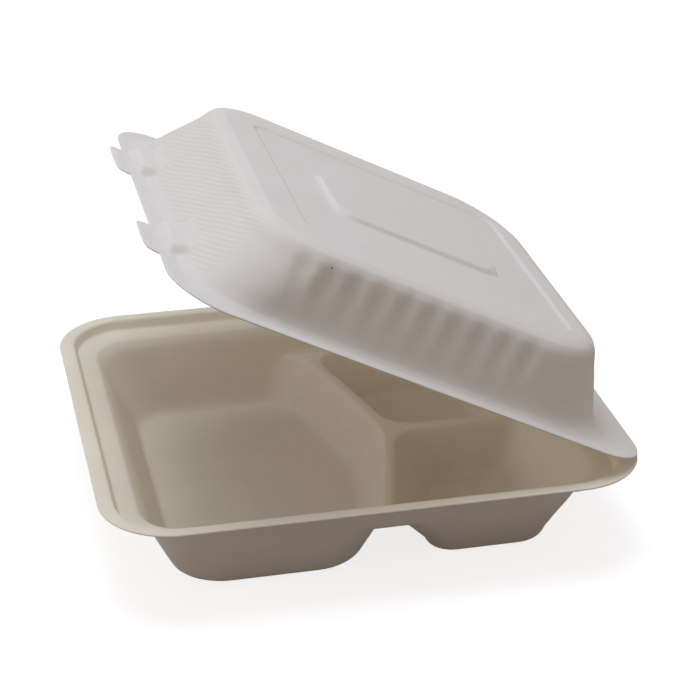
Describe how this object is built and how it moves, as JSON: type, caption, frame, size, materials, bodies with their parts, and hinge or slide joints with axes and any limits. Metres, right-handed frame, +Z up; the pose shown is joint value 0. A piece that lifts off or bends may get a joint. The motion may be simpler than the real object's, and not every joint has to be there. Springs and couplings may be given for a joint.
{
  "type": "hinged food container",
  "caption": "Takeaway food container of moulded plant fibre: a compartment tray and a domed lid joined by a fold, with tabs along the lid's front rim.",
  "frame": {"origin": "centre of the tray's footprint, on the surface the tray stands on", "axes": "+Z up; -Y towards the front rim with the tabs, +Y towards the fold; X along the fold, +X being the side nearest to the viewer in the picture"},
  "size_m": [0.23, 0.2504, 0.1732],
  "materials": {
    "fibre_tray": "matte pressed fibre, warm off-white",
    "fibre_lid": "matte pressed fibre with fine screen marks, off-white"
  },
  "bodies": {
    "tray": {"tray": "fibre_tray"},
    "lid": {"lid": "fibre_lid"}
  },
  "joints": [
    {"name": "lid_fold", "type": "hinge", "parent": "tray", "child": "lid", "pos_m": [0, 0.125, 0.04665], "axis": [-1, 0, 0], "range_deg": [-27, 153]}
  ]
}
